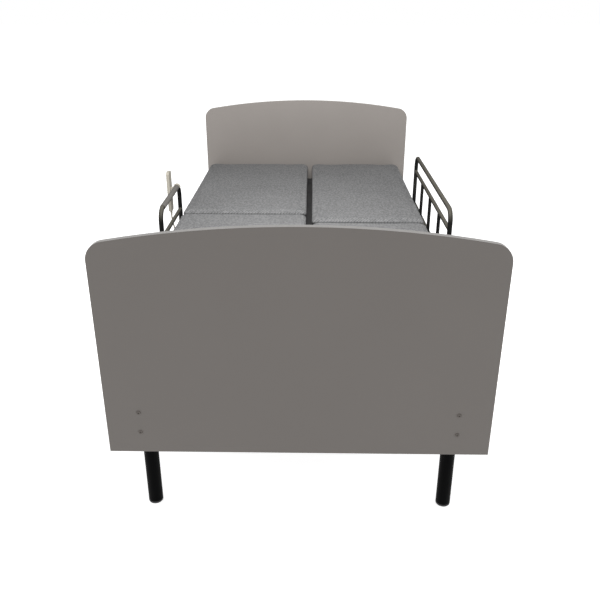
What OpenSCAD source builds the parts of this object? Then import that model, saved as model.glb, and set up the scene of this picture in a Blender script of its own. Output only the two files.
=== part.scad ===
// Adjustable bed base: two articulated decks side by side in one steel frame, between a headboard
// and a footboard of the same shape. Each deck has a lifting back, a fixed seat and lifting thigh and
// calf sections, driven by two linear drives. Millimetres; +Y points to the head end, +X to the
// right, +Z up. The origin is on the floor under the middle of the bed.

/* [Boards] */
// Width of the headboard and footboard
board_w = 1040; // [1030:5:1060]
// Thickness of the boards
board_t = 18; // [16:1:22]
// Outer length of the bed over both boards
bed_l = 2104; // [2094:2:2124]
// Height of the boards' bottom edge above the floor
board_bottom = 238; // [228:2:248]
// Height of the boards' top edge at the middle
board_top = 889; // [860:1:920]
// Radius of the boards' upper corners
board_corner_r = 50; // [40:1:60]
// Rise of the arched top edge over its half width
board_arch = 39; // [30:1:50]

/* [Frame] */
// Distance of the legs and side beams from the middle
leg_x = 430; // [425:1:435]
// Distance of the leg axes from the middle of the length
leg_y = 966; // [960:1:970]
// Outer diameter of the legs
leg_d = 42.4; // [40:0.4:45]
// Height of the side beams' top face
beam_top = 490; // [480:2:500]

/* [Decks] */
// Height of the upholstered surface
deck_top = 563; // [560:1:570]
// Distance of the left deck's hinge between back and seat from the middle
left_back_y = 130; // [120:1:140]
// Distance of the right deck's hinge between back and seat from the middle
right_back_y = 21; // [15:1:30]
// Length from a deck's back hinge to its thigh hinge, left deck
left_seat_l = 240; // [230:1:250]
// Length from a deck's back hinge to its thigh hinge, right deck
right_seat_l = 220; // [210:1:230]
// Largest angle of the back sections
back_max = 60; // [40:1:60]
// Largest angle of the thigh sections
thigh_max = 35; // [20:1:35]

/* [Rails] */
// Distance of the side rail's plane from the middle
rail_x = 540; // [536:1:544]
// Distance of the assist handle's plane from the middle
handle_x = 535; // [532:1:540]
// Height of the side rail's top bar
rail_top = 668; // [660:1:690]
// Height of the assist handle's top bar
handle_top = 648; // [640:1:665]
// Diameter of the rails' main tube
rail_d = 18; // [14:1:18]

/* [Hidden] */

$fn = 48;
cut = 1;           // how far a cutting solid runs past a face
fit_gap = 0.05;    // radial clearance of pins, shafts and rods
board_face_y = bed_l / 2;
board_in_y = board_face_y - board_t;
bolt_z = [302, 364];
bolt_r = 4;
bolt_hole_r = 4.25;

// Frame sections
beam_h = 60;
beam_w = 40;
beam_wall = 3;
beam_end_y = 1012;
cross_y = 990;
centre_x = 17;
centre_w = 80;
centre_h = 40;
plate_t = 6;
leg_wall = 2.5;
glide_h = 8;
drive_beam_z = [360, 400];
head_drive_y = 245;
foot_drive_y = -353;
drive_beam_half = 20;

// Decks: a folded steel tray with an upholstered pad on it
tray_z = [496, 523];
sheet = 2;
pad_gap = 0.5;
pad_z = tray_z[1] + pad_gap;
pad_end_r = 40;    // corners at the bed's ends
pad_seat_r = 30;   // corners of the seat beside the back section
pad_seam_r = 10;   // all other corners, along the seams
pad_edge = 8;
axis_z = 543;      // back and thigh hinges, in the gap between the pads
knee_z = 503;      // knee hinges, under the pads
seat_end = 11;     // from a hinge axis to the seat's end
move_end = 9;      // from a hinge axis to the moving section's end
knee_gap = 3;      // from a knee axis to the pads on both sides
left_x = [-504, 14];
right_x = [30, 484];
pad_overhang_out = 14;
pad_overhang_in = 8;
head_end_y = 1024;
foot_end_y = -1016;
tray_head_y = 1010;
tray_foot_y = -988;
left_thigh_y = left_back_y - left_seat_l;
right_thigh_y = right_back_y - right_seat_l;
left_knee_y = left_thigh_y - 352;
right_knee_y = right_thigh_y - 332;
lug_r = 7;
pin_r = 4;
left_hinges = [-440, -70];
right_hinges = [100, 430];
runner_w = 26;
runner_wall = 2;
inner_rest = [-8, 50];  // where the decks' inner runners bear on the centre beam, left and right

// Drives
lever_h = 110;     // from a hinge axis down to its drive's line
drive_z = axis_z - lever_h;
drive_pin_r = 6;
back_drive_x = 330;
leg_drive_x = 170;
back_psi = back_max / 2;
leg_psi = thigh_max / 2;
rear_pin = 365;    // from a rod's cross pin back to the drive's rear pin
drive_rear_r = 5;
tube_r = 18;
rod_r = 10;

// Rails
bar_r = 8;         // middle bars
upright_r = 7;     // uprights of the side rail
tube_bend = 45;
rail_y = [-180, 735];
rail_mid = 597;
rail_axis_z = 427;
rail_axis_x = rail_x + 6;  // outboard of the rail, so that the raised rail leans on its stop
rail_shaft_r = 10;
rail_bracket_y = [-64, 604];
lock_face_x = 566;
lock_pin_r = 3;
handle_y = [-125, 268];
handle_mid = 540;
handle_foot_z = 434;
grip_r = 10.5;
bracket_z = 460;

// Handset
handset_c = [-566, 225];
handset_z = [545, 713];
handset_t = 12;
handset_w = 48;
relief_l = 20;
rocker_z = [693, 669, 645, 621];
rocker_rise = 2;   // how far a rocker key stands out of the handset's face
rocker_half = 16.5;
rocker_axis_x = -568.5;
rocker_pin_r = 1.2;
rocker_pin_end = 18.5;
handset_out_x = handset_t / 2 + rocker_rise - handset_c[0];
cord_r = 3;
cable_r = 2.5;
gland_x = -40;
gland_y = 20;
box_x = [-25, 59];
box_y = [-130, 70];
box_z = [402, 450];
cable_z = 424;

// Route of the handset's cord, from its strain relief to the control box
cord_route = [
    [-566, 225, 525], [-565, 225, 509], [-562, 226, 486], [-556, 226, 460], [-550, 226, 430],
    [-546, 225, 400], [-543, 223, 340], [-539, 218, 280], [-533, 207, 228], [-521, 187, 190],
    [-507, 165, 178], [-493, 145, 190], [-483, 131, 228], [-477, 124, 280], [-474, 121, 330],
    [-474, 120, 380], [-473, 120, 398], [-469, 120, 411], [-460, 120, 420], [-447, 120, 424],
    [-423, 120, 424], [-408, 118, 419], [-385, 112, 405], [-345, 102, 383], [-295, 89, 370], [-240, 74, 365],
    [-185, 59, 370], [-135, 45, 385], [-95, 34, 404], [-70, 26, 417], [-54, 21, 423],
    [-40, 20, 424]
];
// Route of each drive's cable, from its gearbox to the control box
cable_routes = [
    [[-252, -238, 433], [-242, -238, 433], [-222, -238, 427], [-190, -240, 414], [-140, -236, 408],
     [-65, -215, 404], [-22, -185, 408], [-4, -155, 418], [-3, -140, 420], [-3, -130, 420]],
    [[-92, 229, 433], [-82, 229, 433], [-66, 216, 424], [-48, 190, 415], [-28, 155, 410], [-10, 118, 414],
     [-3, 92, 419], [-3, 80, 420], [-3, 70, 420]],
    [[252, -347, 433], [242, -347, 433], [224, -344, 426], [192, -334, 414], [130, -295, 406],
     [72, -235, 406], [45, -188, 411], [37, -155, 419], [37, -142, 420], [37, -130, 420]],
    [[92, 140, 433], [84, 140, 433], [70, 134, 427], [56, 119, 420], [42, 98, 418], [37, 82, 420],
     [37, 70, 420]]
];

// A box from its low corner to its high corner
module block(low, high) {
    translate(low) cube(high - low);
}

// A cylinder along one axis, centred on a point
module rod_x(p, r, l) {
    translate(p) rotate([0, 90, 0]) cylinder(r = r, h = l, center = true);
}
module rod_y(p, r, l) {
    translate(p) rotate([90, 0, 0]) cylinder(r = r, h = l, center = true);
}

// A flat plate in the YZ plane, drawn in 2D as (y, z) and centred on x
module plate_yz(x, t) {
    translate([x - t / 2, 0, 0]) rotate([90, 0, 90]) linear_extrude(t) children();
}

// A rectangle with four round corners
module round_rect(x0, x1, y0, y1, r) {
    translate([x0 + r, y0]) square([x1 - x0 - 2 * r, y1 - y0]);
    translate([x0, y0 + r]) square([x1 - x0, y1 - y0 - 2 * r]);
    for (x = [x0 + r, x1 - r], y = [y0 + r, y1 - r]) translate([x, y]) circle(r);
}

// A hexagon head or nut along +Z
module hex_head(across, h) {
    cylinder(d = across / cos(30), h = h, $fn = 6);
}

// Helpers for a tube swept along a route. Its rings keep their roll, because each ring's side
// vector is carried on from the ring before it
function unit(v) = v / norm(v);
function heading(p, i) = unit(p[min(i + 1, len(p) - 1)] - p[max(i - 1, 0)]);
function first_side(p) =
    let (t = heading(p, 0), up = abs(t[2]) > 0.9 ? [1, 0, 0] : [0, 0, 1]) unit(cross(t, up));
function carried(p, i, prev) = let (t = heading(p, i)) unit(prev - (prev * t) * t);
function ring_sides(p, i = 0, prev = [], out = []) =
    i == len(p) ? out :
    let (a = carried(p, i, i == 0 ? first_side(p) : prev)) ring_sides(p, i + 1, a, concat(out, [a]));
// A smooth curve through the points, `steps` to each stretch
function through(a, b, c, d, t) =
    0.5 * (2 * b + (c - a) * t + (2 * a - 5 * b + 4 * c - d) * t * t
           + (3 * b - a - 3 * c + d) * t * t * t);
function smooth(p, steps) = concat(
    [for (i = [0 : len(p) - 2], k = [0 : steps - 1])
        through(p[max(i - 1, 0)], p[i], p[i + 1], p[min(i + 2, len(p) - 1)], k / steps)],
    [p[len(p) - 1]]);

module swept_tube(route, r, steps, sides = 8) {
    p = smooth(route, steps);
    a = ring_sides(p);
    n = len(p);
    points = [for (i = [0 : n - 1], k = [0 : sides - 1])
        let (b = cross(heading(p, i), a[i]))
        p[i] + r * (cos(360 * k / sides) * a[i] + sin(360 * k / sides) * b)];
    faces = concat(
        [[for (k = [0 : sides - 1]) k]],
        [for (i = [0 : n - 2], k = [0 : sides - 1])
            let (q = (k + 1) % sides)
            [i * sides + k, (i + 1) * sides + k, (i + 1) * sides + q, i * sides + q]],
        [[for (k = [0 : sides - 1]) n * sides - 1 - k]]);
    polyhedron(points = points, faces = faces);
}

// Points along an arc about c, from angle a0 to a1 in n steps, without its last point
function arc(c, r, a0, a1, n) =
    [for (i = [0 : n - 1]) let (a = a0 + (a1 - a0) * i / n) c + r * [cos(a), sin(a)]];

// Outline of a board: straight sides, two corner arcs and one long arc along the top, all tangent
module board_outline() {
    half = board_w / 2;
    side = half - board_corner_r;
    arch_r = (side * side + board_arch * board_arch) / (2 * board_arch);
    arch_z = board_top - arch_r;
    corner_z = arch_z + sqrt(pow(arch_r - board_corner_r, 2) - side * side);
    a = atan2(corner_z - arch_z, side);
    polygon(concat(
        [[-half, board_bottom], [half, board_bottom]],
        arc([side, corner_z], board_corner_r, 0, a, 10),
        arc([0, arch_z], arch_r, a, 180 - a, 36),
        arc([-side, corner_z], board_corner_r, 180 - a, 180, 10),
        [[-half, corner_z]]));
}

// A board standing from y to y + board_t, with its four bolt holes
module board(y) {
    color("gray") difference() {
        translate([0, y + board_t, 0]) rotate([90, 0, 0]) linear_extrude(board_t) board_outline();
        for (x = [-leg_x, leg_x], z = bolt_z) rod_y([x, y + board_t / 2, z], bolt_hole_r, board_t + 2 * cut);
    }
}

module headboard() { board(board_in_y); }
module footboard() { board(-board_face_y); }

// A dome-headed bolt through a board and its bracket, with a nut behind; along +Y from the board's face
module board_bolt() {
    head_h = 2.5;
    grip = board_t + 5;
    rotate([-90, 0, 0]) {
        difference() {
            translate([0, 0, -head_h]) cylinder(r1 = 5, r2 = 6.5, h = head_h);
            translate([0, 0, -head_h - cut]) cylinder(r = 2.6, h = 2 + cut, $fn = 6);
        }
        cylinder(r = bolt_r, h = grip + 12);
        translate([0, 0, grip]) hex_head(13, 6.5);
    }
}

module board_bolts() {
    color("dimgray") for (x = [-leg_x, leg_x], z = bolt_z) {
        translate([x, -board_face_y, z]) board_bolt();
        translate([x, board_face_y, z]) rotate([0, 0, 180]) board_bolt();
    }
}

// A rectangular tube along Y, open at both ends
module tube_y(x, w, z0, z1, y0, y1, wall) {
    difference() {
        block([x - w / 2, y0, z0], [x + w / 2, y1, z1]);
        block([x - w / 2 + wall, y0 - cut, z0 + wall], [x + w / 2 - wall, y1 + cut, z1 - wall]);
    }
}

// A rectangular tube along X, open at both ends
module tube_x(y, w, z0, z1, x0, x1, wall) {
    difference() {
        block([x0, y - w / 2, z0], [x1, y + w / 2, z1]);
        block([x0 - cut, y - w / 2 + wall, z0 + wall], [x1 + cut, y + w / 2 - wall, z1 - wall]);
    }
}

// A side beam, with holes for the leg bolts and for the brackets on its outer face
module side_beam(s, bracket_ys) {
    color("dimgray") difference() {
        tube_y(s * leg_x, beam_w, beam_top - beam_h, beam_top, -beam_end_y, beam_end_y, beam_wall);
        for (y = [-leg_y, leg_y], o = [-33, 33])
            translate([s * leg_x, y + o, beam_top - beam_h - cut])
                cylinder(r = bolt_hole_r, h = beam_wall + 2 * cut);
        for (y = bracket_ys, o = [-22, 22])
            rod_x([s * (leg_x + beam_w / 2), y + o, bracket_z], bolt_hole_r, 3 * beam_wall);
    }
}

module left_side_beam() { side_beam(-1, handle_y); }
module right_side_beam() { side_beam(1, rail_bracket_y); }

module centre_beam() {
    color("dimgray")
        tube_y(centre_x, centre_w, beam_top - centre_h, beam_top, -cross_y + 20, cross_y - 20, beam_wall);
}

module end_cross_tube(y) {
    inner = leg_x - beam_w / 2;
    color("dimgray") tube_x(y, 40, beam_top - beam_h, beam_top, -inner, inner, beam_wall);
}

module head_cross_tube() { end_cross_tube(cross_y); }
module foot_cross_tube() { end_cross_tube(-cross_y); }

// Where a drive's cross pin stands, seen from the hinge axis of the section that it moves
function back_pin_y(axis_y) = axis_y - lever_h * tan(back_psi);
function leg_pin_y(axis_y) = axis_y + lever_h * tan(leg_psi);

// Two plates that hold a drive's rear pin, welded to the cross member at y
module drive_bracket(x, y, pin_y) {
    reach = abs(pin_y - y);
    under_gear = drive_beam_z[1] + 1.5;   // the plates stay under the gearbox until they are behind it
    for (s = [-1, 1]) translate([0, y, 0]) plate_yz(x + s * 12, 5) mirror([pin_y > y ? 0 : 1, 0]) difference() {
        union() {
            translate([reach, drive_z]) circle(11);
            polygon([[reach - 11, drive_z], [reach + 11, drive_z], [drive_beam_half, drive_beam_z[0]],
                     [0, drive_beam_z[0]], [0, under_gear], [reach - 11, under_gear]]);
        }
        translate([reach, drive_z]) circle(drive_rear_r + fit_gap);
    }
}

// A cross member hung under the side beams on two short posts, with a bracket for each drive
module drive_beam(y, drives) {
    post = 15;
    top = beam_top - beam_h;
    color("dimgray") {
        tube_x(y, 2 * drive_beam_half, drive_beam_z[0], drive_beam_z[1], -450, 450, beam_wall);
        for (s = [-1, 1]) difference() {
            block([s * leg_x - post, y - post, drive_beam_z[1]], [s * leg_x + post, y + post, top]);
            block([s * leg_x - post + beam_wall, y - post + beam_wall, drive_beam_z[1] - cut],
                  [s * leg_x + post - beam_wall, y + post - beam_wall, top + cut]);
        }
        for (d = drives) drive_bracket(d[0], y, d[1]);
    }
}

module head_drive_beam() {
    drive_beam(head_drive_y, [[-leg_drive_x, leg_pin_y(left_thigh_y) + rear_pin],
                              [leg_drive_x, leg_pin_y(right_thigh_y) + rear_pin]]);
}
module foot_drive_beam() {
    drive_beam(foot_drive_y, [[-back_drive_x, back_pin_y(left_back_y) - rear_pin],
                              [back_drive_x, back_pin_y(right_back_y) - rear_pin]]);
}

// A leg: round tube, top plate bolted under the side beam, and a bracket that the board bolts to
module leg(sx, sy) {
    x = sx * leg_x;
    y = sy * leg_y;
    top = beam_top - beam_h;
    face = board_in_y;
    color("black") difference() {
        union() {
            translate([x, y, glide_h]) cylinder(d = leg_d, h = top - plate_t - glide_h);
            block([x - 38, y - 45, top - plate_t], [x + 38, y + 45, top]);
            block([x - 30, sy > 0 ? face - 5 : -face, bolt_z[0] - 22],
                  [x + 30, sy > 0 ? face : -face + 5, bolt_z[1] + 16]);
            for (o = [-22, 22])
                block([x + o - 2.5, sy > 0 ? y : -face + 2, bolt_z[0] - 12],
                      [x + o + 2.5, sy > 0 ? face - 2 : y, bolt_z[1] + 6]);
        }
        translate([x, y, glide_h - cut]) cylinder(d = leg_d - 2 * leg_wall, h = top - plate_t - glide_h - 4);
        for (o = [-33, 33]) translate([x, y + o, top - plate_t - cut])
            cylinder(r = bolt_hole_r, h = plate_t + 2 * cut);
        for (z = bolt_z) rod_y([x, sy * (face - 2.5), z], bolt_hole_r, 5 + 2 * cut);
    }
}

module head_left_leg() { leg(-1, 1); }
module head_right_leg() { leg(1, 1); }
module foot_left_leg() { leg(-1, -1); }
module foot_right_leg() { leg(1, -1); }

// Plastic foot: a plug in the tube with a rounded disc under it
module leg_glides() {
    edge = 4;
    color("black") for (x = [-leg_x, leg_x], y = [-leg_y, leg_y]) translate([x, y, 0]) rotate_extrude() {
        square([leg_d / 2 - edge, glide_h]);
        translate([0, edge]) square([leg_d / 2, glide_h - edge]);
        translate([leg_d / 2 - edge, edge]) circle(edge);
        square([leg_d / 2 - leg_wall - 0.2, 34]);
    }
}

// M8 hexagon bolt along +Z with its nut
module hex_bolt(grip) {
    translate([0, 0, -5.5]) hex_head(13, 5.5);
    cylinder(r = bolt_r, h = grip + 9);
    translate([0, 0, grip]) hex_head(13, 6.5);
}

module frame_bolts() {
    color("silver") {
        for (x = [-leg_x, leg_x], y = [-leg_y, leg_y], o = [-33, 33])
            translate([x, y + o, beam_top - beam_h - plate_t]) hex_bolt(plate_t + beam_wall);
        for (o = [-22, 22]) {
            for (y = handle_y) translate([-leg_x - beam_w / 2 - 5, y + o, bracket_z])
                rotate([0, 90, 0]) hex_bolt(5 + beam_wall);
            for (y = rail_bracket_y) translate([leg_x + beam_w / 2 + 5, y + o, bracket_z])
                rotate([0, -90, 0]) hex_bolt(5 + beam_wall);
        }
    }
}

module buffer(x, y, h) {
    translate([x, y, beam_top]) cylinder(r = abs(x) == leg_x ? 11 : 6, h = h);
}

// Rubber buffers on the beams, on which the raised sections come to rest
module rest_buffers() {
    h = tray_z[0] - 0.2 - beam_top;
    color("black") {
        for (y = [left_back_y + 170, 900, left_knee_y + 70])
            for (x = [-leg_x, inner_rest[0]]) buffer(x, y, h);
        for (y = [right_back_y + 170, 900, right_knee_y + 70])
            for (x = [leg_x, inner_rest[1]]) buffer(x, y, h);
    }
}

// A folded tray: top sheet, turned-down edges, two runners and rows of slots
module tray(x0, x1, y0, y1) {
    runner = x0 < 0 ? -leg_x : leg_x;
    inner = x0 < 0 ? x1 - runner_w / 2 : x0 + runner_w / 2;
    slot_l = 60;
    slot_w = 7;
    pitch = [85, 34];
    nx = floor((x1 - x0 - 140) / pitch[0]);
    ny = floor((y1 - y0 - 90) / pitch[1]);
    difference() {
        block([x0, y0, tray_z[0]], [x1, y1, tray_z[1]]);
        block([x0 + sheet, y0 + sheet, tray_z[0] - cut], [x1 - sheet, y1 - sheet, tray_z[1] - sheet]);
        for (i = [0 : nx - 1], j = [0 : ny - 1])
            translate([(x0 + x1) / 2 + (i - (nx - 1) / 2) * pitch[0],
                       (y0 + y1) / 2 + (j - (ny - 1) / 2) * pitch[1], tray_z[1] - sheet / 2])
                cube([slot_l, slot_w, 2 * sheet], center = true);
    }
    for (x = [runner, inner]) intersection() {
        tube_y(x, runner_w, tray_z[0], tray_z[1], y0 + 6, y1 - 6, runner_wall);
        block([x0, y0, tray_z[0]], [x1, y1, tray_z[1]]);
    }
}

// Hinge lug around (0, 0), reaching down between the pads to a tray on the +y side of it
module lug_outline() {
    below_pad = tray_z[1] - axis_z;
    difference() {
        union() {
            circle(lug_r);
            polygon([[-lug_r, 0], [lug_r, 0], [lug_r + 1, below_pad], [19, below_pad - sheet], [19, -45],
                     [-5, -45]]);
        }
        circle(pin_r + fit_gap);
    }
}

// One hinge of back and thigh sections: a single lug on the moving side
module moving_lug(x, y, dir) {
    translate([0, y, axis_z]) plate_yz(x, 7) mirror([dir > 0 ? 0 : 1, 0]) lug_outline();
}

// and a pair of lugs on the seat side
module seat_lugs(x, y, dir) {
    for (s = [-1, 1]) translate([0, y, axis_z]) plate_yz(x + s * 6.5, 5)
        mirror([dir > 0 ? 1 : 0, 0]) lug_outline();
}

// Knee lug around (0, 0), reaching to +y
module knee_lug_outline() {
    difference() {
        union() {
            circle(lug_r);
            translate([0, -lug_r]) square([22, 2 * lug_r]);
        }
        circle(pin_r + fit_gap);
    }
}

// Slotted lever of a section, in (y, z) about its hinge axis, with the section on the +y side
module lever_outline(psi, slot_half) {
    d = [-sin(psi), -cos(psi)];
    n = [cos(psi), -sin(psi)];
    r_in = lever_h - 1;
    r_out = lever_h / cos(psi) + 1;
    near = (r_in - 9) * d;
    tip = (r_out + 6) * d;
    wide = 15;
    difference() {
        union() {
            translate(tip) circle(wide);
            polygon([[10, -50], [10, -24], [34, -24], [36, -58],
                     tip + wide * n, tip - wide * n, near - wide * n]);
        }
        for (r = [r_in, r_out]) translate(r * d) circle(slot_half);
        polygon([r_in * d + slot_half * n, r_out * d + slot_half * n,
                 r_out * d - slot_half * n, r_in * d - slot_half * n]);
    }
}

// The pair of lever plates, and the square tube along the hinge that they are welded to
module levers(x, y, dir, psi, slot_half) {
    for (s = [-1, 1]) translate([0, y, axis_z]) plate_yz(x + s * 14.5, 5)
        mirror([dir > 0 ? 0 : 1, 0]) lever_outline(psi, slot_half);
    translate([0, y, 0]) mirror([0, dir > 0 ? 0 : 1, 0])
        tube_x(23, 24, tray_z[0], tray_z[1] - sheet, x - 70, x + 70, 2);
}

back_slot = drive_pin_r + 2.6;
leg_slot = drive_pin_r + 0.8;

module back_tray(xs, hinges, y, lever_x) {
    color("slategray") {
        tray(xs[0], xs[1], y + move_end, tray_head_y);
        for (x = hinges) moving_lug(x, y, 1);
        levers(lever_x, y, 1, back_psi, back_slot);
    }
}

module thigh_tray(xs, hinges, y, knee_y, lever_x) {
    color("slategray") {
        tray(xs[0], xs[1], knee_y + move_end, y - move_end);
        for (x = hinges) {
            moving_lug(x, y, -1);
            for (s = [-1, 1]) translate([0, knee_y, knee_z]) plate_yz(x + s * 6.5, 5) knee_lug_outline();
        }
        levers(lever_x, y, -1, leg_psi, leg_slot);
    }
}

module calf_tray(xs, hinges, knee_y) {
    color("slategray") {
        tray(xs[0], xs[1], tray_foot_y, knee_y - move_end);
        for (x = hinges) translate([0, knee_y, knee_z]) plate_yz(x, 7) mirror([1, 0]) knee_lug_outline();
    }
}

// Fixed seat section, with spacers on the beams and a hanger plate round each drive's tube
module seat_tray(xs, hinges, back_y, thigh_y, s) {
    color("slategray") {
        tray(xs[0], xs[1], thigh_y + seat_end, back_y - seat_end);
        for (x = hinges) {
            seat_lugs(x, back_y, 1);
            seat_lugs(x, thigh_y, -1);
        }
        for (y = [thigh_y + 50, back_y - 50]) {
            block([s * leg_x - 12, y - 15, beam_top], [s * leg_x + 12, y + 15, tray_z[0]]);
            inner = inner_rest[s < 0 ? 0 : 1];
            block([inner - 6, y - 15, beam_top], [inner + 6, y + 15, tray_z[0]]);
        }
        drive_hanger(s * back_drive_x, back_pin_y(back_y) - 66);
        drive_hanger(s * leg_drive_x, leg_pin_y(thigh_y) + 66);
    }
}

module drive_hanger(x, y) {
    difference() {
        block([x - 26, y - 2.5, drive_z - 26], [x + 26, y + 2.5, tray_z[1] - sheet]);
        rod_y([x, y, drive_z], tube_r + 0.2, 12);
    }
}

left_tray_x = [left_x[0] + pad_overhang_out, left_x[1] - pad_overhang_in];
right_tray_x = [right_x[0] + pad_overhang_in, right_x[1] - pad_overhang_out];

module left_seat_tray() { seat_tray(left_tray_x, left_hinges, left_back_y, left_thigh_y, -1); }
module right_seat_tray() { seat_tray(right_tray_x, right_hinges, right_back_y, right_thigh_y, 1); }
module left_back_tray() { back_tray(left_tray_x, left_hinges, left_back_y, -back_drive_x); }
module right_back_tray() { back_tray(right_tray_x, right_hinges, right_back_y, back_drive_x); }
module left_thigh_tray() { thigh_tray(left_tray_x, left_hinges, left_thigh_y, left_knee_y, -leg_drive_x); }
module right_thigh_tray() { thigh_tray(right_tray_x, right_hinges, right_thigh_y, right_knee_y, leg_drive_x); }
module left_calf_tray() { calf_tray(left_tray_x, left_hinges, left_knee_y); }
module right_calf_tray() { calf_tray(right_tray_x, right_hinges, right_knee_y); }

// Hinge pins: plain steel pins through the lugs
module pins(xs, y, z) {
    color("silver") for (x = xs) rod_x([x, y, z], pin_r, 22);
}

module seat_hinge_pins() {
    pins(left_hinges, left_back_y, axis_z);
    pins(left_hinges, left_thigh_y, axis_z);
    pins(right_hinges, right_back_y, axis_z);
    pins(right_hinges, right_thigh_y, axis_z);
}
module left_knee_pins() { pins(left_hinges, left_knee_y, knee_z); }
module right_knee_pins() { pins(right_hinges, right_knee_y, knee_z); }

// Nylon skids under a calf section's foot end, rounded about the knee hinges' height
module calf_skids(s) {
    r = knee_z - beam_top - 0.2;
    y = tray_foot_y + 8;
    inner = inner_rest[s < 0 ? 0 : 1];
    color("ivory") for (x = [[s * leg_x, 26], [inner, 12]]) intersection() {
        rod_x([x[0], y, knee_z], r, x[1]);
        block([x[0] - 20, y - 20, beam_top - cut], [x[0] + 20, y + 20, tray_z[0]]);
    }
}
module left_calf_skids() { calf_skids(-1); }
module right_calf_skids() { calf_skids(1); }

// The four corner circles of a pad's outline, drawn in by inset
module pad_corners(xs, ys, foot_r, head_r, inset) {
    for (x = [[xs[0], 1], [xs[1], -1]], y = [[ys[0], 1, foot_r], [ys[1], -1, head_r]])
        translate([x[0] + x[1] * y[2], y[0] + y[1] * y[2]]) circle(y[2] - inset, $fn = 32);
}

// An upholstered pad: rounded corners, each end with its own radius, and a bevelled upper edge
module pad(xs, y0, y1, foot_r, head_r) {
    color("darkgray") hull() {
        translate([0, 0, pad_z]) linear_extrude(deck_top - pad_z - pad_edge)
            pad_corners(xs, [y0, y1], foot_r, head_r, 0);
        translate([0, 0, deck_top - 0.1]) linear_extrude(0.1)
            pad_corners(xs, [y0, y1], foot_r, head_r, pad_edge);
    }
}

module back_pad(xs, y) { pad(xs, y + move_end, head_end_y, pad_seam_r, pad_end_r); }
module seat_pad(xs, back_y, thigh_y) { pad(xs, thigh_y + seat_end, back_y - seat_end, pad_seam_r, pad_seat_r); }
module thigh_pad(xs, y, knee_y) { pad(xs, knee_y + knee_gap, y - move_end, pad_seam_r, pad_seam_r); }
module calf_pad(xs, knee_y) { pad(xs, foot_end_y, knee_y - knee_gap, pad_end_r, pad_seam_r); }

module left_back_pad() { back_pad(left_x, left_back_y); }
module left_seat_pad() { seat_pad(left_x, left_back_y, left_thigh_y); }
module left_thigh_pad() { thigh_pad(left_x, left_thigh_y, left_knee_y); }
module left_calf_pad() { calf_pad(left_x, left_knee_y); }
module right_back_pad() { back_pad(right_x, right_back_y); }
module right_seat_pad() { seat_pad(right_x, right_back_y, right_thigh_y); }
module right_thigh_pad() { thigh_pad(right_x, right_thigh_y, right_knee_y); }
module right_calf_pad() { calf_pad(right_x, right_knee_y); }

// Linear drive in its own frame: the rod points to +Y, its cross pin is at the origin, and the
// motor lies beside the tube on the side given by s
module drive_body(s) {
    tube_y = [-262, -45];
    gear_y = [-350, -258];
    motor_x = 48;
    color("dimgray") {
        difference() {
            union() {
                rod_y([0, (tube_y[0] + tube_y[1]) / 2, 0], tube_r, tube_y[1] - tube_y[0]);
                rod_y([0, tube_y[1] - 8, 0], tube_r + 2, 16);
                translate([0, gear_y[1], 0]) rotate([90, 0, 0])
                    linear_extrude(gear_y[1] - gear_y[0]) gearbox_outline(s * motor_x);
                rod_y([s * motor_x, gear_y[1] + 46, 0], 24, 96);
                rod_x([s * (motor_x + 24), (gear_y[0] + gear_y[1]) / 2, 0], 5, 12);
                block([-8, -rear_pin - 9, -11], [8, gear_y[0] + 2, 11]);
            }
            rod_y([0, tube_y[1] - 100, 0], rod_r + fit_gap, 204);
        }
        rod_x([0, -rear_pin, 0], drive_rear_r, 32);
    }
}

// Section through the gearbox: a rounded block round the tube, and the motor's seat beside it
module gearbox_outline(motor_x) {
    round_rect(-27, 27, -29, 26, 9);
    translate([motor_x, 0]) circle(25.5);
    translate([min(0, motor_x), -22]) square([abs(motor_x), 44]);
}

module drive_rod() {
    color("silver") {
        rod_y([0, -122, 0], rod_r, 224);
        rod_x([0, 0, 0], 13, 18);
        rod_x([0, 0, 0], drive_pin_r, 46);
    }
}

module at_back_pin(x, y) { translate([x, back_pin_y(y), drive_z]) children(); }
module at_leg_pin(x, y) { translate([x, leg_pin_y(y), drive_z]) mirror([0, 1, 0]) children(); }

module left_back_drive() { at_back_pin(-back_drive_x, left_back_y) drive_body(1); }
module left_back_rod() { at_back_pin(-back_drive_x, left_back_y) drive_rod(); }
module right_back_drive() { at_back_pin(back_drive_x, right_back_y) drive_body(-1); }
module right_back_rod() { at_back_pin(back_drive_x, right_back_y) drive_rod(); }
module left_leg_drive() { at_leg_pin(-leg_drive_x, left_thigh_y) drive_body(1); }
module left_leg_rod() { at_leg_pin(-leg_drive_x, left_thigh_y) drive_rod(); }
module right_leg_drive() { at_leg_pin(leg_drive_x, right_thigh_y) drive_body(-1); }
module right_leg_rod() { at_leg_pin(leg_drive_x, right_thigh_y) drive_rod(); }

// Control box under the centre beam, with the mains inlet in its foot end and a gland at its side
module control_box() {
    color("black") difference() {
        union() {
            translate([0, box_y[1], 0]) rotate([90, 0, 0]) linear_extrude(box_y[1] - box_y[0])
                round_rect(box_x[0], box_x[1], box_z[0], box_z[1], 6);
            translate([box_x[0] + 1, gland_y, cable_z]) rotate([0, -90, 0])
                cylinder(r1 = 7, r2 = 4.2, h = box_x[0] + 1 - gland_x);
        }
        block([5, box_y[0] - cut, 426], [29, box_y[0] + 18, 444]);
    }
}

module drive_cables() {
    color("black") {
        for (route = cable_routes) swept_tube(route, cable_r, 2);
        difference() {
            block([-444, 113, 417], [-426, 127, beam_top - beam_h]);
            rod_x([-435, 120, cable_z], cord_r + 0.3, 30);
        }
    }
}

module handset_cord() {
    color("beige") swept_tube(cord_route, cord_r, 2);
}

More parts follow.
